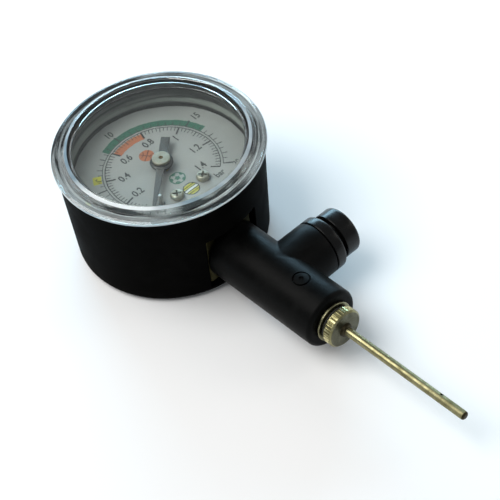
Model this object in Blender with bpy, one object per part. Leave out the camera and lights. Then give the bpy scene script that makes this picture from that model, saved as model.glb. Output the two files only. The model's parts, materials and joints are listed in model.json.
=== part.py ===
"""Pocket pressure gauge for inflated balls, lying on its back.

Origin: centre of the case's back face, on the surface it lies on.
+Z leaves the dial, the barrel and needle run along -Y, the release button points along +X.
Every size below is in millimetres; add_object turns it into metres.
"""
import bpy
import bmesh
from math import atan2, ceil, cos, hypot, pi, radians, sin, tau
from mathutils import Vector
from mathutils.geometry import convex_hull_2d

MM = 0.001
GAP = 0.3                      # left between two pieces that touch
ALONG_MINUS_Y = (pi / 2, 0, 0)  # turns a piece's local +Z to world -Y
ALONG_X = (0, pi / 2, 0)       # turns a piece's local +Z to world +X

# Case and dial
CASE_RIM_R = 24.8
CASE_FOOT_R = 23.5
CASE_RIM_Z = 28.0
CASE_FLOOR = 2.4
CASE_BORE_R = 21.8
LENS_SEAT_R = 23.4
LENS_SEAT_Z = 25.7
FLANGE_R = 25.5
LENS_TOP_Z = 30.7
WINDOW_T = 1.8
DIAL_Z = 20.5
DIAL_T = 0.5
DIAL_R = 21.4
DIAL_SCREW_X = 4.1
DIAL_SCREW_Y = -9.9

# Stem: the barrel, its side boss and the needle, all at one height
STEM_Z = 9.7
BARREL_R = 7.35
BARREL_START = 22.2
BARREL_END = 55.6
BARREL_BORE_R = 5.15
FEED_R = 1.6
STEM_PIPE_R = 4.8
STEM_PIPE_END = 34.8
BOSS_Y = -37.5
BOSS_R = 6.9
BOSS_END = 13.1
NOSE_BORE_R = 4.6
NOSE_BORE_START = 47.0
INSERT_END = BARREL_END + 0.8
HEAD_R = 4.85
HEAD_START = INSERT_END + 1.0
HEAD_END = HEAD_START + 2.4
KNURL_DEPTH = 0.22
THREAD_R = 3.42
SPIGOT_START = 50.1
NEEDLE_R = 1.05
NEEDLE_TIP = 96.3
NEEDLE_BORE_R = 0.45
SIDE_HOLE = 88.9
BUTTON_R = 5.9
BUTTON_START = 17.5
BUTTON_END = 21.8
COLLAR_END = 16.3

# Square brass block that the stem screws to, and the opening in the case round it
BLOCK_HALF = 6.9
BLOCK_FRONT = BARREL_START - 0.4
BLOCK_BACK = 12.6
BLOCK_LOW = CASE_FLOOR + GAP
BLOCK_HIGH = 17.4
OPENING_HALF = BARREL_R + 0.35
OPENING_LOW = STEM_Z - OPENING_HALF
OPENING_HIGH = 18.1

# Movement: pinion on the gauge's axis, sector gear, link and Bourdon tube
BACK_PLATE_Z = 6.2
FRONT_PLATE_Z = 13.4
PLATE_T = 1.0
GEAR_MODULE = 0.24
PINION_TEETH = 10
SECTOR_RATIO = 8
SECTOR_TEETH = PINION_TEETH * SECTOR_RATIO
POINTER_TRAVEL = radians(270)
SECTOR_TRAVEL = POINTER_TRAVEL / SECTOR_RATIO
SECTOR_Z = 9.2
SECTOR_AZIMUTH = radians(75)
PINION_PITCH_R = GEAR_MODULE * PINION_TEETH / 2
SECTOR_PITCH_R = GEAR_MODULE * SECTOR_TEETH / 2
GEAR_CENTRES = PINION_PITCH_R + SECTOR_PITCH_R + 0.05
SECTOR_X = GEAR_CENTRES * cos(SECTOR_AZIMUTH)
SECTOR_Y = GEAR_CENTRES * sin(SECTOR_AZIMUTH)
TUBE_R = 17.0
TUBE_HALF_HEIGHT = 4.0
TUBE_HALF_WIDTH = 1.5
TUBE_WALL = 0.5
TUBE_ROOT_ANGLE = 251
TUBE_TIP_ANGLE = -5
TUBE_TURN = radians(4)         # turn about the root that stands for the tube's flexing
TUBE_ROOT_X = -7.0
TUBE_ROOT_Y = -15.5
TIP_PIN_R = 13.9
TIP_PIN_ANGLE = radians(-10)
PILLARS = ((-8.5, 5.5), (-8.5, -6.5), (8.0, -6.5))
FRAME_SCREW_X = 3.5
FRAME_SCREW_Y = -10.2
CASE_SCREW_X = 3.6
CASE_SCREW_Y = -19.8

# The pointer at zero, clockwise from 12 o'clock; the stop pin stands on its far side
POINTER_ZERO = radians(228.4)
POINTER_Z = DIAL_Z + 1.8
POINTER_T = 0.4
POINTER_TIP = 14.4
POINTER_TAIL = 8.2
STOP_PIN_R = 11.9
STOP_PIN_ANGLE = radians(223.0)

MATERIALS = {
    "black_plastic": ((0.012, 0.013, 0.013), 0.45, 0.0),
    "clear_plastic": ((0.85, 0.9, 0.9), 0.05, 0.0),
    "dial_paint": ((0.62, 0.66, 0.63), 0.5, 0.0),
    "pointer_paint": ((0.12, 0.12, 0.12), 0.5, 0.0),
    "brass": ((0.55, 0.42, 0.2), 0.35, 1.0),
    "nickel": ((0.6, 0.57, 0.45), 0.28, 1.0),
    "steel": ((0.6, 0.6, 0.58), 0.3, 1.0),
    "bronze_tube": ((0.5, 0.33, 0.17), 0.35, 1.0),
    "black_rubber": ((0.01, 0.01, 0.01), 0.8, 0.0),
}


def clear_scene():
    for thing in list(bpy.data.objects):
        bpy.data.objects.remove(thing, do_unlink=True)


def material(name):
    found = bpy.data.materials.get(name)
    if found:
        return found
    colour, roughness, metallic = MATERIALS[name]
    made = bpy.data.materials.new(name)
    made.use_nodes = True
    shader = made.node_tree.nodes["Principled BSDF"]
    shader.inputs["Base Color"].default_value = (*colour, 1)
    shader.inputs["Roughness"].default_value = roughness
    shader.inputs["Metallic"].default_value = metallic
    return made


def add_object(name, bm, finish, location=(0, 0, 0), rotation=(0, 0, 0), parent=None):
    """Turns a closed bmesh in millimetres into a named object in metres."""
    bmesh.ops.recalc_face_normals(bm, faces=bm.faces)
    bmesh.ops.scale(bm, vec=(MM, MM, MM), verts=bm.verts)
    mesh = bpy.data.meshes.new(name)
    bm.to_mesh(mesh)
    bm.free()
    mesh.materials.append(material(finish))
    mesh.shade_smooth()
    mesh.set_sharp_from_angle(angle=radians(35))
    made = bpy.data.objects.new(name, mesh)
    bpy.context.scene.collection.objects.link(made)
    made.parent = parent
    made.location = Vector(location) * MM
    made.rotation_euler = rotation
    return made


def add_pivot(name, location):
    """An empty on a joint's axis; the pieces that move together hang on it."""
    pivot = bpy.data.objects.new(name, None)
    pivot.empty_display_size = 2 * MM
    pivot.location = Vector(location) * MM
    bpy.context.scene.collection.objects.link(pivot)
    return pivot


def turned_mesh(profile, segments):
    """Spins a closed (radius, height, optional groove depth) profile about local Z."""
    bm = bmesh.new()
    rings = []
    for point in profile:
        radius, height = point[0], point[1]
        depth = point[2] if len(point) > 2 else 0
        if radius < 1e-6:
            rings.append([bm.verts.new((0, 0, height))])
            continue
        ring = []
        for step in range(segments):
            r = radius - depth * (step % 2)
            angle = tau * step / segments
            ring.append(bm.verts.new((r * cos(angle), r * sin(angle), height)))
        rings.append(ring)
    for low, high in zip(rings, rings[1:] + rings[:1]):
        if len(low) == 1 and len(high) == 1:
            continue
        for step in range(segments):
            after = (step + 1) % segments
            corners = [low[step % len(low)], low[after % len(low)],
                       high[after % len(high)], high[step % len(high)]]
            bm.faces.new(list(dict.fromkeys(corners)))
    return bm


def turned(name, profile, finish, segments=24, **place):
    return add_object(name, turned_mesh(profile, segments), finish, **place)


def plate_mesh(outline, low, high, holes=()):
    """Extrudes an outline with holes from one height to another."""
    bm = bmesh.new()
    edges = []
    for loop in (outline, *holes):
        verts = [bm.verts.new((x, y, low)) for x, y in loop]
        for a, b in zip(verts, verts[1:] + verts[:1]):
            edges.append(bm.edges.new((a, b)))
    bmesh.ops.triangle_fill(bm, use_beauty=True, use_dissolve=False, edges=edges)
    raised = bmesh.ops.extrude_face_region(bm, geom=list(bm.faces))
    top = [item for item in raised["geom"] if isinstance(item, bmesh.types.BMVert)]
    bmesh.ops.translate(bm, vec=(0, 0, high - low), verts=top)
    return bm


def plate(name, outline, low, high, finish, holes=(), **place):
    return add_object(name, plate_mesh(outline, low, high, holes), finish, **place)


def circle(x, y, radius, count=16):
    steps = [tau * step / count for step in range(count)]
    return [(x + radius * cos(a), y + radius * sin(a)) for a in steps]


def hull(circles, count=14):
    """The outline stretched round a set of (x, y, radius) circles."""
    points = [point for x, y, radius in circles for point in circle(x, y, radius, count)]
    return [points[index] for index in convex_hull_2d(points)]


def box_mesh(low, high):
    bm = bmesh.new()
    bmesh.ops.create_cube(bm, size=1)
    size = Vector(high) - Vector(low)
    bmesh.ops.scale(bm, vec=size, verts=bm.verts)
    bmesh.ops.translate(bm, vec=(Vector(low) + Vector(high)) / 2, verts=bm.verts)
    return bm


def boolean(target, tool, operation):
    """Adds an exact Boolean with a hidden tool object."""
    tool.hide_render = True
    tool.display_type = "WIRE"
    cut = target.modifiers.new(f"{operation.lower()}_{tool.name}", "BOOLEAN")
    cut.operation = operation
    cut.object = tool
    cut.solver = "EXACT"


def swept_mesh(path, sections, closed_ends):
    """Skins a row of cross sections; two sections a step make a hollow tube."""
    bm = bmesh.new()
    rings = []
    for place, across, up in path:
        ring = [[bm.verts.new(place + across * a + up * b) for a, b in section]
                for section in sections]
        rings.append(ring)
    count = len(sections[0])
    for near, far in zip(rings, rings[1:]):
        for near_ring, far_ring in zip(near, far):
            for step in range(count):
                after = (step + 1) % count
                bm.faces.new((near_ring[step], near_ring[after], far_ring[after], far_ring[step]))
    for ring in (rings[0], rings[-1]):
        if closed_ends:
            bm.faces.new(ring[0])
            continue
        for step in range(count):
            after = (step + 1) % count
            bm.faces.new((ring[0][step], ring[0][after], ring[1][after], ring[1][step]))
    return bm


def polar(radius, angle):
    return Vector((radius * cos(angle), radius * sin(angle), 0))


# ---------------------------------------------------------------- case, lens and dial

def case():
    shell = turned("case", [
        (0, 0), (CASE_FOOT_R - 2.2, 0), (CASE_FOOT_R - 1.1, 0.3), (CASE_FOOT_R - 0.3, 1.1),
        (CASE_FOOT_R, 2.2),
        (CASE_RIM_R, CASE_RIM_Z - 0.3), (CASE_RIM_R - 0.3, CASE_RIM_Z),
        (LENS_SEAT_R, CASE_RIM_Z), (LENS_SEAT_R, LENS_SEAT_Z),
        (CASE_BORE_R, LENS_SEAT_Z), (CASE_BORE_R, CASE_FLOOR), (0, CASE_FLOOR),
    ], "black_plastic", segments=56)
    window = add_object("cut_stem_window", box_mesh(
        (-OPENING_HALF, -CASE_RIM_R - 2, OPENING_LOW), (OPENING_HALF, -20, OPENING_HIGH)), "black_plastic")
    boolean(shell, window, "DIFFERENCE")
    for side in (-1, 1):
        hole = turned(f"cut_case_screw_{side + 1}", [
            (0, -1), (2.3, -1), (2.3, 1.6), (1.5, 1.6), (1.5, 4), (0, 4),
        ], "black_plastic", segments=20, location=(side * CASE_SCREW_X, CASE_SCREW_Y, 0))
        boolean(shell, hole, "DIFFERENCE")


def lens():
    """A clear snap-in lens: skirt, flange over the case's rim and a raised flat window."""
    under = LENS_TOP_Z - WINDOW_T
    turned("lens", [
        (0, under), (20.4, under), (21.3, under - 0.6), (21.7, LENS_SEAT_Z + GAP),
        (LENS_SEAT_R - GAP, LENS_SEAT_Z + GAP), (LENS_SEAT_R - GAP, CASE_RIM_Z + GAP),
        (FLANGE_R - 0.15, CASE_RIM_Z + GAP), (FLANGE_R, CASE_RIM_Z + 0.5),
        (24.75, CASE_RIM_Z + 1.2), (22.9, CASE_RIM_Z + 1.35),
        (22.3, CASE_RIM_Z + 2.3), (21.5, LENS_TOP_Z), (0, LENS_TOP_Z),
    ], "clear_plastic", segments=56)


def stop_pin_centre():
    return STOP_PIN_R * sin(STOP_PIN_ANGLE), STOP_PIN_R * cos(STOP_PIN_ANGLE)


def dial():
    pin_x, pin_y = stop_pin_centre()
    holes = [circle(0, 0, 1.7), circle(pin_x, pin_y, 0.75, 12)]
    holes += [circle(side * DIAL_SCREW_X, DIAL_SCREW_Y, 1.2) for side in (-1, 1)]
    plate("dial_plate", circle(0, 0, DIAL_R, 56), DIAL_Z - DIAL_T, DIAL_Z, "dial_paint", holes)
    turned("stop_pin", [
        (0, -1.2), (0.75, -1.2), (0.75, -DIAL_T - GAP), (0.45, -DIAL_T - GAP),
        (0.45, 2.7), (0.3, 2.95), (0, 2.95),
    ], "steel", segments=14, location=(pin_x, pin_y, DIAL_Z))


def screw(name, x, y, seat, head_r, head_h, shank_r, shank_l, finish, recess):
    """A pan-head screw pointing down from its seat, with a cross or a slot in its head."""
    body = turned(name, [
        (0, -shank_l), (shank_r - 0.2, -shank_l), (shank_r, 0.3 - shank_l), (shank_r, 0),
        (head_r, 0), (head_r, head_h * 0.55), (head_r - 0.35, head_h), (0, head_h),
    ], finish, segments=14, location=(x, y, seat))
    width = head_r * 0.16
    long_slot = head_r * 1.4
    short_slot = head_r * 0.62
    slots = {"slot": [(long_slot, width)], "cross": [(short_slot, width), (width, short_slot)]}
    for index, (dx, dy) in enumerate(slots[recess]):
        bar = add_object(f"cut_{name}_{index}", box_mesh(
            (-dx, -dy, head_h * 0.45), (dx, dy, head_h + 1)), finish, location=(x, y, seat))
        boolean(body, bar, "DIFFERENCE")


def dial_fixings():
    top = FRONT_PLATE_Z + PLATE_T + GAP
    under = DIAL_Z - DIAL_T - GAP
    for side, word in ((-1, "left"), (1, "right")):
        x = side * DIAL_SCREW_X
        turned(f"dial_post_{word}", [
            (0, top), (1.8, top), (1.8, under), (1.2, under), (1.2, top + 1), (0, top + 1),
        ], "brass", segments=16, location=(x, DIAL_SCREW_Y, 0))
        screw(f"dial_screw_{word}", x, DIAL_SCREW_Y, DIAL_Z + GAP, 1.65, 1.0, 0.9, 4.5,
              "nickel", "cross")


# ---------------------------------------------------------------- movement

def movement_plates():
    lobes = [(x, y, 2.0) for x, y in PILLARS] + [(SECTOR_X, SECTOR_Y, 2.2)]
    lobes += [(side * DIAL_SCREW_X, DIAL_SCREW_Y, 2.0) for side in (-1, 1)]
    outline = hull(lobes)
    pillar_holes = [circle(x, y, 1.0, 14) for x, y in PILLARS]
    frame_holes = [circle(side * FRAME_SCREW_X, FRAME_SCREW_Y, 1.1, 14) for side in (-1, 1)]
    bearings = [circle(SECTOR_X, SECTOR_Y, 0.55, 14)]
    plate("movement_back_plate", outline, BACK_PLATE_Z, BACK_PLATE_Z + PLATE_T, "brass",
          [circle(0, 0, 0.55, 14), *bearings, *frame_holes])
    plate("movement_front_plate", outline, FRONT_PLATE_Z, FRONT_PLATE_Z + PLATE_T, "brass",
          [circle(0, 0, 0.7, 14), *bearings, *pillar_holes])


def pillars():
    low = BACK_PLATE_Z + PLATE_T + GAP
    high = FRONT_PLATE_Z - GAP
    for number, (x, y) in enumerate(PILLARS, 1):
        turned(f"pillar_{number}", [
            (0, low), (1.7, low), (1.7, high), (1.0, high), (1.0, low + 1), (0, low + 1),
        ], "brass", segments=14, location=(x, y, 0))
        screw(f"movement_screw_{number}", x, y, FRONT_PLATE_Z + PLATE_T + GAP, 1.35, 0.8,
              0.7, 4.5, "steel", "slot")


def arbor(pivot):
    """The pointer's arbor, with its pinion as a separate pressed-on gear."""
    low = BACK_PLATE_Z
    turned("pointer_arbor", [
        (0, low - 0.4), (0.45, low - 0.4), (0.45, low + PLATE_T + 0.3),
        (0.7, low + PLATE_T + 0.3), (0.7, FRONT_PLATE_Z - 0.3), (0.6, FRONT_PLATE_Z - 0.3),
        (0.6, POINTER_Z + 0.9), (0.35, POINTER_Z + 1.2), (0, POINTER_Z + 1.2),
    ], "steel", segments=14, parent=pivot)
    outline = []
    for step in range(PINION_TEETH * 4):
        radius = 1.42 if step % 4 in (0, 1) else 0.98
        spread = (-0.12, 0.12, 0.3, 0.7)[step % 4]
        angle = tau * (step // 4 + spread) / PINION_TEETH + SECTOR_AZIMUTH + pi / PINION_TEETH
        outline.append((radius * cos(angle), radius * sin(angle)))
    plate("pinion", outline, SECTOR_Z - 0.6, SECTOR_Z + 1.4, "brass",
          [circle(0, 0, 0.8, 12)], parent=pivot)
    turned("hairspring_collet", [
        (0.8, 11.1), (1.35, 11.1), (1.35, 12.6), (0.8, 12.6),
    ], "brass", segments=14, parent=pivot)


def pointer(pivot):
    """Blade with a counterweight tail on a turned hub, and the brass cap pressed over it."""
    right = [(1.25, -POINTER_TAIL), (1.2, -1.5), (1.9, 0), (0.95, 2.6), (0.4, POINTER_TIP)]
    left = [(-x, y) for x, y in reversed(right)]
    blade = plate("pointer", right + left, POINTER_Z, POINTER_Z + POINTER_T, "pointer_paint",
                  rotation=(0, 0, -POINTER_ZERO), parent=pivot)
    hub = turned("join_pointer_hub", [
        (0, -0.9), (1.9, -0.9), (2.8, -0.1), (2.8, 0.4), (2.3, 0.7), (0, 0.7),
    ], "pointer_paint", segments=24, location=(0, 0, POINTER_Z))
    boolean(blade, hub, "UNION")
    bore = turned("cut_pointer_bore", [
        (0, -3), (0.9, -3), (0.9, 3), (0, 3),
    ], "pointer_paint", segments=14, location=(0, 0, POINTER_Z))
    boolean(blade, bore, "DIFFERENCE")
    turned("pointer_cap", [
        (0.9, 0), (2.2, 0), (2.2, 0.45), (2.0, 0.7), (0.75, 0.7), (0.75, 0.5), (0.9, 0.4),
    ], "brass", segments=20, location=(0, 0, POINTER_Z + 0.7 + GAP), parent=pivot)


def hairspring():
    """A flat spiral from just outside the collet to its stud."""
    turns, inner, outer = 4.5, 1.75, 5.2
    steps = ceil(turns * 14)
    path = []
    for step in range(steps + 1):
        angle = tau * turns * step / steps
        out = polar(1, angle)
        path.append((out * (inner + (outer - inner) * step / steps) + Vector((0, 0, 11.85)),
                     out, Vector((0, 0, 1))))
    section = [(-0.08, -0.4), (0.08, -0.4), (0.08, 0.4), (-0.08, 0.4)]
    add_object("hairspring", swept_mesh(path, [section], True), "bronze_tube")
    turned("hairspring_stud", [
        (0, 10.8), (0.6, 10.8), (0.6, FRONT_PLATE_Z - GAP), (0, FRONT_PLATE_Z - GAP),
    ], "brass", segments=12, location=(-6.15, 0, 0))


def tip_pin_centre():
    return TIP_PIN_R * cos(TIP_PIN_ANGLE), TIP_PIN_R * sin(TIP_PIN_ANGLE)


def tail_pin_centre():
    """The sector's tail is placed so that the link slides without turning.

    Its chord over the full stroke equals the tube tip's chord, in the same direction.
    """
    x, y = tip_pin_centre()
    reach = hypot(x - TUBE_ROOT_X, y - TUBE_ROOT_Y)
    bearing = atan2(y - TUBE_ROOT_Y, x - TUBE_ROOT_X)
    length = reach * sin(TUBE_TURN / 2) / sin(SECTOR_TRAVEL / 2)
    angle = bearing + TUBE_TURN / 2 - SECTOR_TRAVEL / 2
    return SECTOR_X + length * cos(angle), SECTOR_Y + length * sin(angle), angle


def sector_gear(pivot):
    """A toothed sector; at zero the pinion meets its far end."""
    tail_x, tail_y, tail_angle = tail_pin_centre()
    mesh_angle = SECTOR_AZIMUTH + pi
    pitch = tau / SECTOR_TEETH
    first = -ceil((SECTOR_TRAVEL + radians(5)) / pitch)
    last = 1
    outline = []
    for tooth in range(first, last + 1):
        for spread, radius in ((-0.26, -0.27), (-0.1, 0.18), (0.1, 0.18), (0.26, -0.27)):
            angle = mesh_angle + (tooth + spread) * pitch
            point = polar(SECTOR_PITCH_R + radius, angle)
            outline.append((point.x, point.y))
    for degrees in (285, 320, 350):
        outline.append(tuple(polar(1.7, radians(degrees)))[:2])
    for step in range(7):
        angle = tail_angle - pi / 2 + pi * step / 6
        outline.append((tail_x - SECTOR_X + 0.95 * cos(angle), tail_y - SECTOR_Y + 0.95 * sin(angle)))
    for degrees in (75, 110, 145):
        outline.append(tuple(polar(1.7, radians(degrees)))[:2])
    plate("sector_gear", outline, SECTOR_Z, SECTOR_Z + 1, "brass",
          [circle(0, 0, 0.85, 14), circle(tail_x - SECTOR_X, tail_y - SECTOR_Y, 0.6, 12)],
          parent=pivot)
    turned("sector_shaft", [
        (0, BACK_PLATE_Z - 0.3), (0.45, BACK_PLATE_Z - 0.3), (0.45, 7.5), (0.7, 7.5),
        (0.7, 13.1), (0.45, 13.1), (0.45, 14.7), (0, 14.7),
    ], "steel", segments=14, parent=pivot)
    pin("tail_pin", tail_x - SECTOR_X, tail_y - SECTOR_Y, pivot)


def pin(name, x, y, parent):
    """A headed pin through a lug at the sector's height and the link above it."""
    top = SECTOR_Z + 2.1
    turned(name, [
        (0, SECTOR_Z - 0.6), (0.75, SECTOR_Z - 0.6), (0.75, SECTOR_Z - GAP), (0.42, SECTOR_Z - GAP),
        (0.42, top), (0.8, top), (0.8, top + 0.3), (0, top + 0.3),
    ], "steel", segments=12, location=(x, y, 0), parent=parent)


def link(pivot):
    """Joins the sector's tail to the tube's tip; its slack hole is at the tip."""
    tail_x, tail_y, _ = tail_pin_centre()
    tip_x, tip_y = tip_pin_centre()
    dx, dy = tip_x - tail_x, tip_y - tail_y
    plate("link", hull([(0, 0, 1.0), (dx, dy, 1.1)]), SECTOR_Z + 1.3, SECTOR_Z + 1.8, "brass",
          [circle(0, 0, 0.52, 12), circle(dx, dy, 0.72, 12)], parent=pivot)


def oval(half_width, half_height, count=10):
    """A flat-sided oval: an ellipse raised to the power that fills its corners."""
    points = []
    for step in range(count):
        angle = tau * (step + 0.5) / count
        c, s = cos(angle), sin(angle)
        points.append((half_width * abs(c) ** 0.7 * (1 if c > 0 else -1),
                       half_height * abs(s) ** 0.7 * (1 if s > 0 else -1)))
    return points


def bourdon_tube(pivot):
    root = Vector((TUBE_ROOT_X, TUBE_ROOT_Y, 0))
    steps = ceil((TUBE_ROOT_ANGLE - TUBE_TIP_ANGLE) / 10)
    path = []
    for step in range(steps + 1):
        angle = radians(TUBE_ROOT_ANGLE + (TUBE_TIP_ANGLE - TUBE_ROOT_ANGLE) * step / steps)
        place = polar(TUBE_R, angle) - root + Vector((0, 0, STEM_Z))
        path.append((place, polar(1, angle), Vector((0, 0, 1))))
    sections = [oval(TUBE_HALF_WIDTH, TUBE_HALF_HEIGHT),
                oval(TUBE_HALF_WIDTH - TUBE_WALL, TUBE_HALF_HEIGHT - TUBE_WALL)]
    add_object("bourdon_tube", swept_mesh(path, sections, False), "bronze_tube", parent=pivot)
    tube_tip(pivot, root)


def tube_tip(pivot, root):
    """A block that closes the tube's end, with a lug and pin for the link."""
    start = radians(TUBE_TIP_ANGLE) - GAP / TUBE_R
    end = start - radians(10)
    inner, outer = TUBE_R - TUBE_HALF_WIDTH - 0.2, TUBE_R + TUBE_HALF_WIDTH + 0.2
    corners = [polar(inner, start), polar(outer, start), polar(outer, end), polar(inner, end)]
    outline = [(c.x - root.x, c.y - root.y) for c in corners]
    block = plate("tube_tip", outline, STEM_Z - 4.3, STEM_Z + 4.3, "brass", parent=pivot)
    pin_x, pin_y = tip_pin_centre()
    local = (pin_x - root.x, pin_y - root.y)
    along = polar(1, TIP_PIN_ANGLE)
    neck = (local[0] + along.x * 2, local[1] + along.y * 2, 1.0)
    lug = plate("join_tip_lug", hull([(*local, 1.1), neck]), SECTOR_Z, SECTOR_Z + 1, "brass",
                [circle(*local, 0.6, 12)], location=(root.x, root.y, 0))
    boolean(block, lug, "UNION")
    pin("tip_pin", *local, pivot)


# ---------------------------------------------------------------- socket, barrel and needle

def socket_block():
    """Square brass block with a round pipe for the barrel and a shelf for the movement."""
    bm = box_mesh((-BLOCK_HALF, -BLOCK_FRONT, BLOCK_LOW), (BLOCK_HALF, -BLOCK_BACK, BLOCK_HIGH))
    bmesh.ops.bevel(bm, geom=list(bm.edges), offset=0.3, segments=1, affect="EDGES")
    block = add_object("socket_block", bm, "brass")
    pipe = turned("join_socket_pipe", [
        (0, BLOCK_FRONT - 2), (STEM_PIPE_R, BLOCK_FRONT - 2), (STEM_PIPE_R, 30.2),
        (3.8, 30.2), (3.8, 32.2), (STEM_PIPE_R, 32.2), (STEM_PIPE_R, STEM_PIPE_END - 0.5),
        (STEM_PIPE_R - 0.5, STEM_PIPE_END), (0, STEM_PIPE_END),
    ], "brass", location=(0, 0, STEM_Z), rotation=ALONG_MINUS_Y)
    boolean(block, pipe, "UNION")
    shelf = add_object("join_socket_shelf", box_mesh(
        (-6, -BLOCK_BACK - 1, BLOCK_LOW), (6, -7.6, BACK_PLATE_Z - GAP)), "brass")
    boolean(block, shelf, "UNION")
    pocket = add_object("cut_tube_pocket", box_mesh(
        (-BLOCK_HALF - 1, -18.4, STEM_Z - 4.4), (-4.7, -13.3, STEM_Z + 4.4)), "brass")
    boolean(block, pocket, "DIFFERENCE")
    feed = turned("cut_socket_feed", [
        (0, 16), (1.2, 16), (1.2, STEM_PIPE_END + 1), (0, STEM_PIPE_END + 1),
    ], "brass", segments=14, location=(0, 0, STEM_Z), rotation=ALONG_MINUS_Y)
    boolean(block, feed, "DIFFERENCE")
    cross = turned("cut_socket_cross", [
        (0, -5.2), (1.0, -5.2), (1.0, 0.4), (0, 0.4),
    ], "brass", segments=14, location=(0, -16.9, STEM_Z), rotation=ALONG_X)
    boolean(block, cross, "DIFFERENCE")
    for side in (-1, 1):
        for word, x, y, radius, top in (("frame", FRAME_SCREW_X, FRAME_SCREW_Y, 1.1, 7),
                                        ("case", CASE_SCREW_X, CASE_SCREW_Y, 1.5, 7.6)):
            hole = turned(f"cut_{word}_bore_{side + 1}", [
                (0, 2), (radius, 2), (radius, top), (0, top),
            ], "brass", segments=14, location=(side * x, y, 0))
            boolean(block, hole, "DIFFERENCE")
    turned("socket_o_ring", ring_section(4.42, 0.45, 31.2), "black_rubber",
           location=(0, 0, STEM_Z), rotation=ALONG_MINUS_Y)


def ring_section(mean_radius, wire_radius, height, count=6):
    steps = [tau * (step + 0.5) / count for step in range(count)]
    return [(mean_radius + wire_radius * cos(a), height + wire_radius * sin(a)) for a in steps]


def block_fixings():
    for side, word in ((-1, "left"), (1, "right")):
        screw(f"frame_screw_{word}", side * FRAME_SCREW_X, FRAME_SCREW_Y,
              BACK_PLATE_Z + PLATE_T + GAP, 1.5, 0.8, 0.8, 4.2, "steel", "slot")
        upside = turned(f"case_screw_{word}", [
            (0, 0.35), (1.95, 0.35), (1.95, 1.3), (1.2, 1.3), (1.2, 7), (0.9, 7.3), (0, 7.3),
        ], "steel", segments=14, location=(side * CASE_SCREW_X, CASE_SCREW_Y, 0))
        for index, (dx, dy) in enumerate(((1.2, 0.28), (0.28, 1.2))):
            bar = add_object(f"cut_case_screw_{word}_{index}", box_mesh(
                (-dx, -dy, -1), (dx, dy, 0.85)), "steel",
                location=(side * CASE_SCREW_X, CASE_SCREW_Y, 0))
            boolean(upside, bar, "DIFFERENCE")


def barrel():
    """The T-shaped barrel: a round body with a side boss for the release valve."""
    body = turned("barrel", [
        (0, BARREL_START), (BARREL_R - 0.3, BARREL_START), (BARREL_R, BARREL_START + 0.3),
        (BARREL_R, BARREL_END - 1.3), (BARREL_R - 0.4, BARREL_END - 0.4),
        (BARREL_R - 1.2, BARREL_END), (0, BARREL_END),
    ], "black_plastic", segments=40, location=(0, 0, STEM_Z), rotation=ALONG_MINUS_Y)
    boss = turned("join_boss", [
        (0, 0), (BOSS_R, 0), (BOSS_R, BOSS_END - 0.2), (BOSS_R - 0.2, BOSS_END), (0, BOSS_END),
    ], "black_plastic", segments=36, location=(0, BOSS_Y, STEM_Z), rotation=ALONG_X)
    boolean(body, boss, "UNION")
    bore = turned("cut_barrel_bore", [
        (0, BARREL_START - 1), (BARREL_BORE_R, BARREL_START - 1), (BARREL_BORE_R, STEM_PIPE_END + 0.4),
        (FEED_R, STEM_PIPE_END + 0.4), (FEED_R, NOSE_BORE_START), (NOSE_BORE_R, NOSE_BORE_START),
        (NOSE_BORE_R, BARREL_END + 1), (0, BARREL_END + 1),
    ], "black_plastic", segments=24, location=(0, 0, STEM_Z), rotation=ALONG_MINUS_Y)
    boolean(body, bore, "DIFFERENCE")
    chamber = turned("cut_boss_bore", [
        (0, 0.1), (1.4, 0.1), (1.4, 5.6), (3.4, 5.6), (3.4, 9.1), (4.9, 9.1),
        (4.9, BOSS_END + 1), (0, BOSS_END + 1),
    ], "black_plastic", segments=24, location=(0, BOSS_Y, STEM_Z), rotation=ALONG_X)
    boolean(body, chamber, "DIFFERENCE")


def nose_insert():
    turned("nose_insert", [
        (1.4, NOSE_BORE_START + GAP), (NOSE_BORE_R - GAP, NOSE_BORE_START + GAP),
        (NOSE_BORE_R - GAP, BARREL_END + GAP), (5.05, BARREL_END + GAP),
        (5.05, INSERT_END - 0.1), (4.9, INSERT_END), (3.5, INSERT_END),
        (3.5, 49.6), (1.4, 49.6),
    ], "nickel", segments=28, location=(0, 0, STEM_Z), rotation=ALONG_MINUS_Y)


def needle():
    """Threaded spigot, knurled head and long tube in one, with an air hole near its tip."""
    carrier = add_pivot("needle_axis", (0, 0, STEM_Z))
    carrier.rotation_euler = ALONG_MINUS_Y
    turned("needle_washer", [
        (3.6, INSERT_END + GAP), (4.35, INSERT_END + GAP), (4.35, HEAD_START - GAP),
        (3.6, HEAD_START - GAP),
    ], "black_rubber", segments=24, parent=carrier)
    spike = turned("needle", [
        (NEEDLE_BORE_R, SPIGOT_START), (THREAD_R - 0.4, SPIGOT_START), (THREAD_R, SPIGOT_START + 0.4),
        (THREAD_R, HEAD_START), (HEAD_R - 0.4, HEAD_START),
        (HEAD_R, HEAD_START + 0.3, KNURL_DEPTH), (HEAD_R, HEAD_END - 0.35, KNURL_DEPTH),
        (HEAD_R - 0.45, HEAD_END),
        (1.75, HEAD_END), (1.6, HEAD_END + 0.7), (NEEDLE_R, HEAD_END + 0.9),
        (NEEDLE_R, NEEDLE_TIP - 0.8), (0.8, NEEDLE_TIP - 0.25), (0.35, NEEDLE_TIP), (0, NEEDLE_TIP),
        (0, SIDE_HOLE + 0.5), (NEEDLE_BORE_R, SIDE_HOLE + 0.5),
    ], "nickel", segments=36, parent=carrier)
    hole = turned("cut_air_hole", [
        (0, 0.2), (0.45, 0.2), (0.45, 2), (0, 2),
    ], "nickel", segments=12, location=(0, -SIDE_HOLE, STEM_Z), rotation=(0, pi / 6, 0))
    boolean(spike, hole, "DIFFERENCE")


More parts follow.
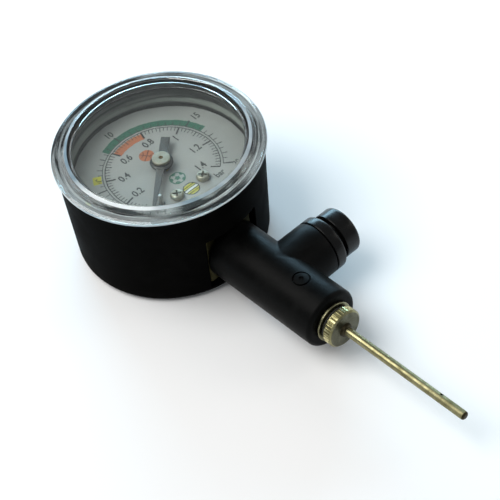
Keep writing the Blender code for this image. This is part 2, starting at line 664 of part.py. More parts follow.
def release_valve():
    """Collar screwed in the boss, and the push button whose stem lifts the seal off its seat."""
    place = dict(location=(0, BOSS_Y, STEM_Z), rotation=ALONG_X)
    turned("release_collar", [
        (1.8, 9.4), (4.6, 9.4), (4.6, BOSS_END + GAP), (BOSS_R, BOSS_END + GAP),
        (BOSS_R, COLLAR_END - 0.9), (BOSS_R - 0.3, COLLAR_END - 0.3), (BOSS_R - 1.0, COLLAR_END),
        (4.6, COLLAR_END), (4.6, 14.6), (1.8, 14.6),
    ], "black_plastic", segments=32, **place)
    turned("release_button", [
        (0, 6.9), (1.4, 6.9), (1.4, 7.6), (0.8, 7.6), (0.8, 9.7), (1.4, 9.7), (1.4, 19.5),
        (3.4, 19.5), (3.4, 15.9), (4.5, 15.9), (4.5, BUTTON_START), (BUTTON_R - 0.3, BUTTON_START),
        (BUTTON_R, BUTTON_START + 0.3), (BUTTON_R, BUTTON_END - 1.3),
        (BUTTON_R - 0.45, BUTTON_END - 0.4), (BUTTON_R - 1.4, BUTTON_END), (0, BUTTON_END),
    ], "black_plastic", segments=28, **place)
    turned("release_seal", [
        (1.1, 7.9), (2.9, 7.9), (2.9, 9.1), (1.1, 9.1),
    ], "black_rubber", segments=18, **place)
    spring(place)


def spring(place):
    """The return spring, at the length it has with the button pressed in."""
    turns, radius, wire, start, end = 4, 2.4, 0.28, 14.95 + 0.28, 18.2 - 0.28
    steps = turns * 10
    path = []
    for step in range(steps + 1):
        angle = tau * turns * step / steps
        out = polar(1, angle)
        path.append((out * radius + Vector((0, 0, start + (end - start) * step / steps)),
                     out, Vector((0, 0, 1))))
    section = [(wire * cos(tau * k / 5), wire * sin(tau * k / 5)) for k in range(5)]
    add_object("release_spring", swept_mesh(path, [section], True), "steel", **place)


def build():
    clear_scene()
    case()
    lens()
    dial()
    dial_fixings()
    movement_plates()
    pillars()
    gauge_axis = add_pivot("gauge_axis", (0, 0, 0))
    arbor(gauge_axis)
    pointer(gauge_axis)
    hairspring()
    sector_gear(add_pivot("sector_axis", (SECTOR_X, SECTOR_Y, 0)))
    tail_x, tail_y, _ = tail_pin_centre()
    link(add_pivot("link_axis", (tail_x, tail_y, 0)))
    bourdon_tube(add_pivot("tube_root", (TUBE_ROOT_X, TUBE_ROOT_Y, 0)))
    socket_block()
    block_fixings()
    barrel()
    nose_insert()
    needle()
    release_valve()


build()
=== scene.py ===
"""Looks of the ball pressure gauge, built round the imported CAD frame.

Sizes are in millimetres, in the CAD's own frame: the origin is at the centre of the case's back face,
+Z leaves the dial, the barrel and needle run along -Y and the release button points along +X.
"""

import json
from math import asin, atan2, ceil, cos, hypot, pi, radians, sin, sqrt, tan, tau

import bmesh
import bpy
from mathutils import Matrix, Vector

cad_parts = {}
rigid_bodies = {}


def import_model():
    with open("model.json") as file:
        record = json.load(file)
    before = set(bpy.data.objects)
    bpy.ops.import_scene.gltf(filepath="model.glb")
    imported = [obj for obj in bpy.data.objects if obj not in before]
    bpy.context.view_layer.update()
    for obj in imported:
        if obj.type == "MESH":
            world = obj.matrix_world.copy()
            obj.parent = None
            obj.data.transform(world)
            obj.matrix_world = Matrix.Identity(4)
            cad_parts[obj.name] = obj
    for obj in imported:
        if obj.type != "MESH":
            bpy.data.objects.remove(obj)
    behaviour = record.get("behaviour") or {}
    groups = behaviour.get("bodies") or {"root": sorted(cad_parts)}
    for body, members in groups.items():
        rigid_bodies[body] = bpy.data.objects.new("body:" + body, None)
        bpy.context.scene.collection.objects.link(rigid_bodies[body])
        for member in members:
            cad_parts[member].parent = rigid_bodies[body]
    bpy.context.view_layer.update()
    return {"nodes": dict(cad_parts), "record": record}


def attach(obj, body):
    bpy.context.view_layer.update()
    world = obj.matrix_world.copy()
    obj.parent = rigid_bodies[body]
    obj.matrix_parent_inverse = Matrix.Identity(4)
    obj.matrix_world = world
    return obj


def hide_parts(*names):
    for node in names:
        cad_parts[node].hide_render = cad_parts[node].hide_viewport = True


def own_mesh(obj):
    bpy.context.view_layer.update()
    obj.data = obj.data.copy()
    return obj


MM = 0.001
EDGE_STEPS = 5                 # points in each rounded corner of a profile

# The places and sizes that the looks share with the CAD
STEM_Z = 9.7
BOSS_Y = -37.5
DIAL_Z = 20.5
DIAL_R = 21.4
POINTER_Z = DIAL_Z + 1.8
POINTER_ZERO = 228.4           # degrees clockwise from 12 o'clock
BARREL_R = 7.35
BARREL_START = 22.2
BARREL_END = 55.6
BOSS_R = 6.9
BOSS_END = 13.1
CASE_FLOOR = 2.4
CASE_TOP = 28.0
CASE_BORE_R = 21.8
LEDGE_Z = 25.7                 # the step inside the case, under the lens's skirt
LENS_R = 25.5
FLANGE_Z = 28.3
LENS_TOP = 30.7
DIAL_SCREW_X = 4.1
DIAL_SCREW_Y = -9.9
CASE_SCREW_X = 3.6
CASE_SCREW_Y = -19.8
OPENING_HALF = 7.7
OPENING_TOP = 18.1
FILLET = 0.42                  # between the boss and the barrel
INSERT_END = 56.4
HEAD_R = 4.85
HEAD_START = 57.4
HEAD_END = 59.8
NEEDLE_R = 1.05
NEEDLE_TIP = 96.3
SIDE_HOLE = 88.9
HOLE_LEAN = pi / 6             # the side hole's angle from straight up

STEM = Matrix.Translation((0, 0, STEM_Z)) @ Matrix.Rotation(pi / 2, 4, "X")
BOSS = Matrix.Translation((0, BOSS_Y, STEM_Z)) @ Matrix.Rotation(pi / 2, 4, "Y")
UPRIGHT = Matrix.Identity(4)

# The dial's two scales: where each mark lies, in degrees clockwise from 12 o'clock
BAR_ZERO = -140.5
BAR_STEP = 39.75               # degrees for each 0.2 bar
PSI_ZERO = -141.0
PSI_STEP = 68.5                # degrees for each 5 psi
INNER_CIRCLE = 13.85
OUTER_CIRCLE = 14.5
PIN_R = 11.9                   # the stop pin's place on the dial
PIN_DEGREES = 223.0
PRINT_LOW = DIAL_Z - 0.02
PRINT_HIGH = DIAL_Z + 0.025
OVERPRINT = 0.012              # how far a mark stands above the colours it crosses

for thing in list(bpy.data.objects):
    bpy.data.objects.remove(thing, do_unlink=True)
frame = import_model()


# ---------------------------------------------------------------- camera, lights and floor

def look_from(azimuth, elevation, distance, aim, roll=0.0):
    """A matrix in metres that stands at a distance from aim and looks at it."""
    az, el = radians(azimuth), radians(elevation)
    forward = Vector((sin(az) * cos(el), cos(az) * cos(el), -sin(el)))
    stand = Matrix.Translation((Vector(aim) - forward * distance) * MM)
    facing = forward.to_track_quat("-Z", "Y").to_matrix().to_4x4()
    return stand @ facing @ Matrix.Rotation(radians(roll), 4, "Z")


def camera():
    data = bpy.data.cameras.new("camera")
    data.lens = 144
    data.sensor_width = 36
    data.clip_start = 0.01
    seen = bpy.data.objects.new("camera", data)
    seen.matrix_world = look_from(36.9, 47.26, 460.1, (-0.7, -30.0, 15.0), -8.6)
    bpy.context.scene.collection.objects.link(seen)
    bpy.context.scene.camera = seen


def soft_light(name, azimuth, elevation, distance, size, watts, colour):
    """An area light that stands where a camera at that azimuth and elevation would."""
    data = bpy.data.lights.new(name, "AREA")
    data.shape = "RECTANGLE"
    data.size, data.size_y = size[0] * MM, size[1] * MM
    data.energy = watts
    data.color = colour
    lamp = bpy.data.objects.new(name, data)
    lamp.matrix_world = look_from(azimuth, elevation, distance, (0, -25, 12))
    bpy.context.scene.collection.objects.link(lamp)


def lights():
    world = bpy.data.worlds.new("pale_room")
    world.use_nodes = True
    backdrop = world.node_tree.nodes["Background"]
    backdrop.inputs["Color"].default_value = (0.95, 0.98, 1.0, 1)
    backdrop.inputs["Strength"].default_value = 0.4
    bpy.context.scene.world = world
    bpy.context.scene.view_settings.view_transform = "Standard"
    soft_light("back_window", 216.9, 16, 700, (620, 230), 6.5, (0.47, 0.79, 1.0))
    soft_light("overhead", 125, 57, 650, (480, 480), 3.4, (1.0, 0.99, 0.97))
    soft_light("side_fill", -60, 30, 800, (300, 260), 0.6, (1.0, 0.97, 0.92))


def floor():
    mesh = bpy.data.meshes.new("floor")
    half = 2.5
    corners = [(-half, -half, 0), (half, -half, 0), (half, half, 0), (-half, half, 0)]
    mesh.from_pydata(corners, [], [(0, 1, 2, 3)])
    ground = bpy.data.objects.new("floor", mesh)
    ground.location.z = -0.05 * MM
    bpy.context.scene.collection.objects.link(ground)
    paint = Surface("floor_paint", (0.93, 0.93, 0.93), 0.9)
    paint.fixed({"Specular IOR Level": 0.1})
    ground.data.materials.append(paint.material)


# ---------------------------------------------------------------- materials

class Surface:
    """A Principled material, with short names for the nodes that vary it over the surface."""

    def __init__(self, name, colour, roughness, metallic=0.0):
        self.material = bpy.data.materials.new(name)
        self.material.use_nodes = True
        self.tree = self.material.node_tree
        self.shader = self.tree.nodes["Principled BSDF"]
        self.fixed({"Base Color": (*colour, 1), "Roughness": roughness, "Metallic": metallic})

    def fixed(self, values):
        for name, value in values.items():
            self.shader.inputs[name].default_value = value

    def node(self, kind, inputs=None, **settings):
        made = self.tree.nodes.new("ShaderNode" + kind)
        for name, value in settings.items():
            setattr(made, name, value)
        for name, value in (inputs or {}).items():
            if isinstance(value, bpy.types.NodeSocket):
                self.tree.links.new(value, made.inputs[name])
            else:
                made.inputs[name].default_value = value
        return made

    def drive(self, name, source):
        self.tree.links.new(source, self.shader.inputs[name])

    def position(self, centre=(0, 0, 0), stretch=(1, 1, 1)):
        """Position on the object, in millimetres from a centre."""
        place = self.node("TexCoord").outputs["Object"]
        return self.node("Mapping", {
            "Vector": place, "Location": [-c * s for c, s in zip(centre, stretch)],
            "Scale": [s / MM for s in stretch]}).outputs["Vector"]

    def noise(self, size, detail=3.0, at=None, distortion=0.0):
        """Noise whose features are about size millimetres across."""
        return self.node("TexNoise", {
            "Vector": at or self.position(), "Scale": 1 / size, "Detail": detail,
            "Distortion": distortion}).outputs["Fac"]

    def streaks(self, around, across, detail=3.0):
        """Noise drawn out along circles about the dial's axis.

        around is how many patches there are in a turn, and across is their width in millimetres.
        """
        place = self.position()
        flat = self.node("VectorMath", {0: place, 1: (1, 1, 0)}, operation="MULTIPLY").outputs["Vector"]
        radius = self.node("VectorMath", {0: flat}, operation="LENGTH").outputs["Value"]
        outward = self.node("VectorMath", {0: flat}, operation="NORMALIZE").outputs["Vector"]
        height = self.node("SeparateXYZ", {"Vector": place}).outputs["Z"]
        level = self.node("CombineXYZ", {"Z": self.add(radius, height, 1.0)}).outputs["Vector"]
        often = around / tau
        circle = self.node("VectorMath", {0: outward, 1: (often, often, 0)}, operation="MULTIPLY")
        route = self.node("VectorMath", {
            0: level, 1: [1 / across] * 3, 2: circle.outputs["Vector"]}, operation="MULTIPLY_ADD")
        return self.noise(1.0, detail, route.outputs["Vector"])

    def lathe_rings(self, axis, pitch, centre=(0, 0, 0)):
        """Fine rings about an axis, as a turning tool leaves them."""
        return self.node("TexWave", {
            "Vector": self.position(centre), "Scale": 0.314 / pitch, "Distortion": 0.6, "Detail": 2.0},
            wave_type="RINGS", rings_direction=axis).outputs["Fac"]

    def between(self, fac, low, high, start=0.3, end=0.7):
        return self.node("MapRange", {
            "Value": fac, "From Min": start, "From Max": end,
            "To Min": low, "To Max": high}).outputs["Result"]

    def blend(self, fac, first, second, start=0.35, end=0.65):
        ramp = self.node("ValToRGB", {"Fac": fac})
        ramp.color_ramp.elements[0].position = start
        ramp.color_ramp.elements[1].position = end
        ramp.color_ramp.elements[0].color = (*first, 1)
        ramp.color_ramp.elements[1].color = (*second, 1)
        return ramp.outputs["Color"]

    def relief(self, height, depth, under=None):
        """Bump of a depth in millimetres, on top of another one if given."""
        inputs = {"Height": height, "Distance": depth * MM, "Strength": 1.0}
        if under is not None:
            inputs["Normal"] = under
        return self.node("Bump", inputs).outputs["Normal"]

    def add(self, first, second, share):
        """first + second * share."""
        return self.node("Math", {0: second, 1: share, 2: first}, operation="MULTIPLY_ADD").outputs["Value"]


def moulded_plastic(name, shade, roughness, grain, gloss):
    """Black moulded plastic: fine grain, faint flow marks and slightly polished high spots."""
    made = Surface(name, shade, roughness)
    made.fixed({"Specular IOR Level": gloss, "IOR": 1.46})
    fine = made.noise(0.3, 3.0)
    flow = made.noise(6.0, 4.0, distortion=0.8)
    lighter = tuple(c * 1.9 + 0.001 for c in shade)
    made.drive("Base Color", made.blend(made.add(flow, fine, 0.35), shade, lighter, 0.55, 0.95))
    uneven = made.add(flow, fine, 0.3)
    made.drive("Roughness", made.between(uneven, roughness - 0.07, roughness + 0.09, 0.4, 0.9))
    made.drive("Normal", made.relief(fine, grain, made.relief(made.noise(1.4, 3.0), grain * 1.5)))
    return made.material


def clear_plastic():
    """Clear moulded lens with faint ripples, hairline scratches and lamps let through to the dial."""
    made = Surface("clear_plastic", (0.93, 0.965, 0.955), 0.015)
    made.fixed({"Transmission Weight": 1.0, "IOR": 1.49})
    ripple = made.noise(5.0, 2.0)
    scratch = made.noise(0.5, 3.0, made.position(stretch=(0.15, 2.2, 1)), 1.5)
    made.drive("Normal", made.relief(scratch, 0.0015, made.relief(ripple, 0.03)))
    tree = made.tree
    clear = made.node("BsdfTransparent", {"Color": (0.88, 0.92, 0.91, 1)})
    path = made.node("LightPath")
    mixed = made.node("MixShader", {
        "Fac": path.outputs["Is Shadow Ray"], 1: made.shader.outputs["BSDF"], 2: clear.outputs["BSDF"]})
    tree.links.new(mixed.outputs["Shader"], tree.nodes["Material Output"].inputs["Surface"])
    return made.material


def rim_painted_reflections():
    """The lens's thick moulded rim, with silvery reflections and darker patches painted into its colour."""
    made = Surface("lens_rim_painted_reflections", (0.7, 0.75, 0.74), 0.05)
    made.fixed({"Transmission Weight": 0.8, "IOR": 1.49})
    streak = made.add(made.streaks(9.0, 0.9), made.streaks(4.0, 3.0, 1.0), 0.6)
    # Painted reflection: the colour runs from near black to silvery along the streaks round the rim.
    made.drive("Base Color", made.blend(streak, (0.02, 0.024, 0.025), (0.93, 0.98, 0.97), 0.72, 0.87))
    made.drive("Normal", made.relief(made.streaks(6.0, 1.6), 0.04))
    return made.material


def edge_painted_highlight():
    """The lens's outer and window edges, with a bright line painted into their colour as a highlight."""
    made = Surface("lens_edge_painted_highlight", (0.75, 0.88, 0.95), 0.06)
    made.fixed({"Transmission Weight": 0.4, "IOR": 1.49})
    streak = made.streaks(8.0, 2.5)
    # Painted highlight: streaks of pale blue to near white round the edges.
    made.drive("Base Color", made.blend(streak, (0.3, 0.42, 0.5), (0.9, 0.97, 1.0), 0.38, 0.56))
    return made.material


def inner_wall_painted_reflection():
    """The case's black inner wall, with pale streaks round it and a pale streaky band above the dial,
    painted as reflections.
    """
    made = Surface("inner_wall_painted_reflection", (0.014, 0.0155, 0.0145), 0.3)
    made.fixed({"Specular IOR Level": 0.4, "IOR": 1.46})
    fine = made.noise(0.3, 3.0)
    streak = made.streaks(5.0, 1.1)
    height = made.node("SeparateXYZ", {"Vector": made.position()}).outputs["Z"]
    # Painted reflection: a pale band on the wall, full from 1.5 to 1.9 mm above the dial and gone below 0.5
    # and above 3.9 mm.
    above = made.between(height, 1.0, 0.0, DIAL_Z + 1.9, DIAL_Z + 3.9)
    below = made.between(height, 0.0, 1.0, DIAL_Z + 0.5, DIAL_Z + 1.5)
    painted_reflection_band = made.add(0.0, above, below)
    grain_and_painted_reflection = made.add(made.add(streak, fine, 0.15), painted_reflection_band, 0.5)
    made.drive("Base Color", made.blend(grain_and_painted_reflection, (0.014, 0.0155, 0.0145), (0.2, 0.21, 0.19), 0.62, 1.0))
    made.drive("Roughness", made.between(streak, 0.24, 0.4))
    made.drive("Normal", made.relief(fine, 0.0015))
    return made.material


def dial_paint():
    # The dial's pale paint is given a mid grey: the shade that falls on it under the lens is painted into
    # its colour.
    made = Surface("dial_paint", (0.27, 0.275, 0.268), 0.5)
    speck = made.noise(0.22, 4.0)
    cloud = made.noise(9.0, 2.0)
    made.drive("Base Color", made.blend(
        made.add(cloud, speck, 0.4), (0.235, 0.235, 0.225), (0.275, 0.273, 0.262), 0.5, 0.9))
    made.drive("Roughness", made.between(speck, 0.42, 0.58))
    made.drive("Normal", made.relief(speck, 0.006))
    return made.material


def ink(name, colour):
    """Screen-printed ink: slightly uneven cover with a soft grain."""
    made = Surface(name, colour, 0.45)
    speck = made.noise(0.13, 3.0)
    thin = tuple(c * 1.3 + 0.01 for c in colour)
    made.drive("Base Color", made.blend(speck, colour, thin, 0.45, 0.85))
    made.drive("Roughness", made.between(speck, 0.38, 0.55))
    made.drive("Normal", made.relief(speck, 0.004))
    return made.material


def enamel(name, colour, roughness=0.42):
    made = Surface(name, colour, roughness)
    peel = made.noise(0.4, 3.0)
    lighter = tuple(c * 1.35 for c in colour)
    made.drive("Base Color", made.blend(peel, colour, lighter, 0.4, 0.8))
    made.drive("Roughness", made.between(peel, roughness - 0.08, roughness + 0.08))
    made.drive("Normal", made.relief(peel, 0.01))
    return made.material


def metal(name, colour, tarnish, roughness, axis="Z", centre=(0, 0, 0), pitch=0.09, dulled=None):
    """Turned metal: fine tool rings, patches of tarnish and worn brighter places.

    dulled gives the two places along Y between which the metal loses its shine.
    """
    made = Surface(name, colour, roughness, 1.0)
    rings = made.lathe_rings(axis, pitch, centre)
    patch = made.noise(1.6, 5.0, distortion=0.4)
    fine = made.noise(0.12, 3.0)
    mixed = made.add(patch, fine, 0.3)
    made.drive("Base Color", made.blend(mixed, colour, tarnish, 0.5, 0.88))
    rough = made.between(made.add(mixed, rings, 0.15), roughness - 0.07, roughness + 0.14, 0.5, 0.95)
    if dulled:
        along = made.node("SeparateXYZ", {"Vector": made.position()}).outputs["Y"]
        rough = made.add(rough, made.between(along, 1.0, 0.0, *dulled), 0.26)
    made.drive("Roughness", rough)
    made.drive("Normal", made.relief(rings, 0.004, made.relief(fine, 0.004)))
    return made.material


def rubber():
    made = Surface("black_rubber", (0.011, 0.011, 0.0105), 0.75)
    fine = made.noise(0.1, 4.0)
    made.drive("Base Color", made.blend(made.noise(1.0, 4.0), (0.009, 0.009, 0.009), (0.02, 0.019, 0.018)))
    made.drive("Roughness", made.between(fine, 0.66, 0.84))
    made.drive("Normal", made.relief(fine, 0.012))
    return made.material


# ---------------------------------------------------------------- mesh helpers

def rounded(points, steps=EDGE_STEPS):
    """A closed outline of (x, y) and (x, y, radius) points, with an arc at each radius."""
    out = []
    for index, point in enumerate(points):
        corner = Vector(point[:2])
        if len(point) < 3:
            out.append(corner)
            continue
        before = (Vector(points[index - 1][:2]) - corner).normalized()
        after = (Vector(points[(index + 1) % len(points)][:2]) - corner).normalized()
        half = before.angle(after) / 2
        centre = corner + (before + after).normalized() * (point[2] / sin(half))
        reach = point[2] / tan(half)
        start = corner + before * reach - centre
        end = corner + after * reach - centre
        angle = start.angle(end)
        for step in range(steps + 1):
            share = step / steps
            spoke = start * sin((1 - share) * angle) + end * sin(share * angle)
            out.append(centre + spoke / sin(angle))
    return out


def turned(profile, segments=144, wave=None):
    """Spins a closed (radius, height) profile about local Z.

    wave(angle, radius, height) says how much is trimmed off the radius.
    """
    bm = bmesh.new()
    rings = []
    for radius, height in profile:
        if radius < 1e-5:
            rings.append([bm.verts.new((0, 0, height))])
            continue
        ring = []
        for step in range(segments):
            angle = tau * step / segments
            r = radius - (wave(angle, radius, height) if wave else 0)
            ring.append(bm.verts.new((r * cos(angle), r * sin(angle), height)))
        rings.append(ring)
    for low, high in zip(rings, rings[1:] + rings[:1]):
        if len(low) == 1 and len(high) == 1:
            continue
        for step in range(segments):
            after = (step + 1) % segments
            corners = [low[step % len(low)], low[after % len(low)],
                       high[after % len(high)], high[step % len(high)]]
            bm.faces.new(list(dict.fromkeys(corners)))
    return bm


def add_plate(bm, outline, low, high, holes=()):
    """Adds an outline with holes to a bmesh, extruded from one height to another."""
    edges = []
    for loop in (outline, *holes):
        verts = [bm.verts.new((x, y, low)) for x, y in loop]
        for a, b in zip(verts, verts[1:] + verts[:1]):
            edges.append(bm.edges.new((a, b)))
    filled = bmesh.ops.triangle_fill(bm, use_beauty=True, use_dissolve=False, edges=edges)
    faces = [item for item in filled["geom"] if isinstance(item, bmesh.types.BMFace)]
    raised = bmesh.ops.extrude_face_region(bm, geom=faces)
    top = [item for item in raised["geom"] if isinstance(item, bmesh.types.BMVert)]
    bmesh.ops.translate(bm, vec=(0, 0, high - low), verts=top)


def spaced(start, end, count):
    """Numbers from start to end, count equal steps apart."""
    return [start + (end - start) * step / count for step in range(count + 1)]


def polar(radius, degrees):
    """A point about the dial's centre, in degrees clockwise from 12 o'clock."""
    angle = radians(degrees)
    return radius * sin(angle), radius * cos(angle)


def arc(radius, start, end, every=2.0):
    """Points on a circle about the dial's centre, in degrees clockwise from 12 o'clock."""
    count = max(1, ceil(abs(end - start) / every))
    return [polar(radius, degrees) for degrees in spaced(start, end, count)]


def disc(x, y, radius, count=32):
    """Points round a circle."""
    angles = [tau * step / count for step in range(count)]
    return [(x + radius * cos(angle), y + radius * sin(angle)) for angle in angles]


def box(x, y, half_width, half_height):
    """An upright rectangle's corners."""
    return [(x - half_width, y - half_height), (x + half_width, y - half_height),
            (x + half_width, y + half_height), (x - half_width, y + half_height)]


def to_object(name, bm, place=UPRIGHT, sharp=35):
    """Makes an object in metres, in the CAD's frame, from a bmesh in millimetres."""
    bmesh.ops.recalc_face_normals(bm, faces=bm.faces)
    bmesh.ops.transform(bm, matrix=Matrix.Scale(MM, 4) @ place, verts=bm.verts)
    mesh = bpy.data.meshes.new(name)
    bm.to_mesh(mesh)
    bm.free()
    mesh.shade_smooth()
    mesh.set_sharp_from_angle(angle=radians(sharp))
    made = bpy.data.objects.new(name, mesh)
    bpy.context.scene.collection.objects.link(made)
    return made


def shape_with(target, tools, operation="DIFFERENCE"):
    """Cuts or joins the tool objects and keeps only the result."""
    for tool in tools:
        step = target.modifiers.new(tool.name, "BOOLEAN")
        step.operation = operation
        step.object = tool
        step.solver = "EXACT"
    bake_modifiers(target)
    for tool in tools:
        bpy.data.objects.remove(tool, do_unlink=True)


def bake_modifiers(target, sharp=35):
    graph = bpy.context.evaluated_depsgraph_get()
    mesh = bpy.data.meshes.new_from_object(target.evaluated_get(graph), depsgraph=graph)
    target.modifiers.clear()
    target.data = mesh
    mesh.shade_smooth()
    mesh.set_sharp_from_angle(angle=radians(sharp))


def soften_edges(target, width, angle=50, segments=2):
    """Rounds the sharp edges that cuts have left."""
    step = target.modifiers.new("soften", "BEVEL")
    step.width = width * MM
    step.segments = segments
    step.limit_method = "ANGLE"
    step.angle_limit = radians(angle)
    step.miter_outer = "MITER_ARC"
    bake_modifiers(target)


def second_material(piece, material, belongs):
    """Gives another material to the faces whose centre, in millimetres, belongs."""
    piece.data.materials.append(material)
    for face in piece.data.polygons:
        if belongs(face.center / MM):
            face.material_index = len(piece.data.materials) - 1


def finish(piece, body, material, *nodes):
    piece.data.materials.clear()
    piece.data.materials.append(material)
    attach(piece, body)
    if nodes:
        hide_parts(*nodes)
    return piece


# ---------------------------------------------------------------- case and lens

def case_shell(material, inner_painted_material):
    foot, rim, mouth = 23.42, 24.8, 23.4
    wall = [(foot + (rim - foot) * level / CASE_TOP, level) for level in (4, 8, 12, 16, 18.6, 21, 24, 26.6)]
    shell = to_object("case_shell", turned(rounded([
        (0, 0), (foot, 0, 2.2), *wall, (rim, CASE_TOP, 0.3), (mouth, CASE_TOP, 0.15), (mouth, LEDGE_Z),
        (CASE_BORE_R, LEDGE_Z, 0.1), (CASE_BORE_R, CASE_FLOOR, 0.6), (0, CASE_FLOOR)]), 200))
    half, top, corner = OPENING_HALF, OPENING_TOP - STEM_Z, 0.35
    opening = bmesh.new()
    add_plate(opening, rounded([(-half, -half, corner), (half, -half, corner),
                                (half, top, corner), (-half, top, corner)]), 20, 27)
    tools = [to_object("cut_opening", opening, STEM)]
    for side in (-1, 1):
        tools.append(to_object(f"cut_screw_{side}", turned(rounded([
            (0, -1), (2.3, -1), (2.3, 1.6, 0.1), (1.5, 1.6), (1.5, 4), (0, 4)]), 40),
            Matrix.Translation((side * CASE_SCREW_X, CASE_SCREW_Y, 0))))
    shape_with(shell, tools)
    soften_edges(shell, 0.12)
    finish(shell, "root", material, "case")
    # The inner wall takes the material with painted reflections.
    second_material(shell, inner_painted_material, lambda spot: (
        CASE_FLOOR + 0.1 < spot.z < LEDGE_Z - 0.1 and spot.xy.length < CASE_BORE_R + 0.1))


def clear_lens(material, rim_painted_material, edge_painted_material):
    """Skirt, flange over the case's rim, step and raised flat window in one moulding."""
    skirt, skirt_end, under_window = 23.1, 26.0, 28.9
    lens = to_object("clear_lens", turned(rounded([
        (0, under_window), (20.6, under_window, 0.5), (21.7, skirt_end, 0.1), (skirt, skirt_end, 0.2),
        (skirt, FLANGE_Z), (LENS_R, FLANGE_Z, 0.2), (LENS_R, 28.75, 0.3), (24.7, 29.2, 0.5),
        (22.85, 29.3, 0.25), (22.35, 30.1, 0.9), (21.3, LENS_TOP, 0.5), (0, LENS_TOP)], 7), 240), sharp=60)
    finish(lens, "root", material, "lens")
    # The rim above the flange takes the material with painted reflections.
    second_material(lens, rim_painted_material, lambda spot: spot.z > FLANGE_Z - 0.1 and spot.xy.length > 21.4)
    # The flange's outer edge and the window's edge take the material with a painted highlight.
    second_material(lens, edge_painted_material, lambda spot: (
        FLANGE_Z < spot.z < FLANGE_Z + 0.6 and spot.xy.length > LENS_R - 0.35))
    second_material(lens, edge_painted_material, lambda spot: (
        spot.z > LENS_TOP - 0.4 and 21.5 < spot.xy.length < 22.1))


# ---------------------------------------------------------------- dial and pointer

def dial_face(material):
    bm = bmesh.new()
    holes = [disc(0, 0, 1.7), disc(*polar(PIN_R, PIN_DEGREES), 0.75, 20)]
    holes += [disc(side * DIAL_SCREW_X, DIAL_SCREW_Y, 1.2, 24) for side in (-1, 1)]
    add_plate(bm, disc(0, 0, DIAL_R, 180), DIAL_Z - 0.5, DIAL_Z, holes)
    face = to_object("dial_face", bm)
    soften_edges(face, 0.06)
    finish(face, "root", material, "dial_plate")


def band(bm, inner, outer, start, end):
    """A coloured stretch of the scale between two radii."""
    add_plate(bm, arc(outer, start, end) + arc(inner, end, start), PRINT_LOW, PRINT_HIGH)


def mark(bm, degrees, inner, outer, width):
    """A radial tick of constant width."""
    out = Vector(polar(1, degrees))
    side = Vector((out.y, -out.x)) * width / 2
    corners = [out * inner - side, out * outer - side, out * outer + side, out * inner + side]
    add_plate(bm, [tuple(corner) for corner in corners], PRINT_LOW, PRINT_HIGH + OVERPRINT)


def bar_scale(material):
    bm = bmesh.new()
    last = 7 * BAR_STEP + BAR_ZERO
    band(bm, INNER_CIRCLE - 0.1, INNER_CIRCLE + 0.1, BAR_ZERO, last)
    for step in range(71):
        inner, width = (12.65, 0.16)
        if step % 5 == 0:
            inner, width = (12.3, 0.2)
        if step % 10 == 0:
            inner, width = (11.5, 0.42)
        mark(bm, BAR_ZERO + BAR_STEP * step / 10, inner, INNER_CIRCLE, width)
    finish(to_object("bar_scale", bm), "root", material)


def psi_scale(material):
    bm = bmesh.new()
    band(bm, OUTER_CIRCLE - 0.09, OUTER_CIRCLE + 0.09, PSI_ZERO, PSI_ZERO + 4 * PSI_STEP)
    for step in range(41):
        outer, width = (15.55, 0.18)
        if step % 2 == 0:
            outer = 15.9
        if step % 10 == 0:
            outer, width = (16.7, 0.36)
        mark(bm, PSI_ZERO + PSI_STEP * step / 10, OUTER_CIRCLE, outer, width)
    finish(to_object("psi_scale", bm), "root", material)


def colour_bands(inks):
    for name, inner, outer, start, end, colour in (
            ("green_band", 14.57, 16.4, -22.5, 80.5, "green"),
            ("orange_band", 11.25, 13.4, -21.5, 18.5, "orange"),
            ("yellow_band", 14.85, 16.85, -62.0, -53.0, "yellow")):
        bm = bmesh.new()
        band(bm, inner, outer, start, end)
        finish(to_object(name, bm), "root", inks[colour])


def lettering(name, words, material):
    """Printed figures: words is a row of (text, x, y, height)."""
    figure_height, narrow = 0.69, 0.78     # of the font at size 1, and its squeeze across
    bm = bmesh.new()
    for text, x, y, height in words:
        curve = bpy.data.curves.new(name, "FONT")
        curve.body = text
        curve.align_x = "CENTER"
        curve.align_y = "CENTER"
        curve.size = 1.0
        curve.offset = 0.016
        curve.resolution_u = 4
        curve.extrude = 0.5
        typed = bpy.data.objects.new(name, curve)
        bpy.context.scene.collection.objects.link(typed)
        graph = bpy.context.evaluated_depsgraph_get()
        mesh = bpy.data.meshes.new_from_object(typed.evaluated_get(graph), depsgraph=graph)
        bpy.data.objects.remove(typed, do_unlink=True)
        thick = PRINT_HIGH - PRINT_LOW
        size = height / figure_height
        mesh.transform(Matrix.Translation((x, y, (PRINT_HIGH + PRINT_LOW) / 2))
                       @ Matrix.Diagonal((size * narrow, size, thick, 1)))
        bm.from_mesh(mesh)
        bpy.data.meshes.remove(mesh)
    bmesh.ops.remove_doubles(bm, verts=bm.verts, dist=1e-4)
    finish(to_object(name, bm), "root", material)


def numerals(inks):
    lettering("bar_figures", [
        ("0.2", -9.33, -1.73, 2.05), ("0.4", -8.27, 4.46, 2.05), ("0.6", -3.93, 8.7, 2.05),
        ("0.8", 3.14, 8.86, 2.05), ("1", 8.74, 5.03, 2.05), ("1.2", 9.43, -1.26, 2.05),
        ("1.4", 6.29, -6.6, 2.05), ("bar", 7.7, -11.8, 1.75)], inks["black"])
    lettering("psi_figures", [
        ("5", -13.35, 8.1, 1.6), ("10", -1.41, 18.2, 1.9), ("15", 17.1, 7.2, 1.9),
        ("20", 12.9, -12.2, 1.6), ("psi", 9.5, -15.2, 1.4)], inks["grey"])


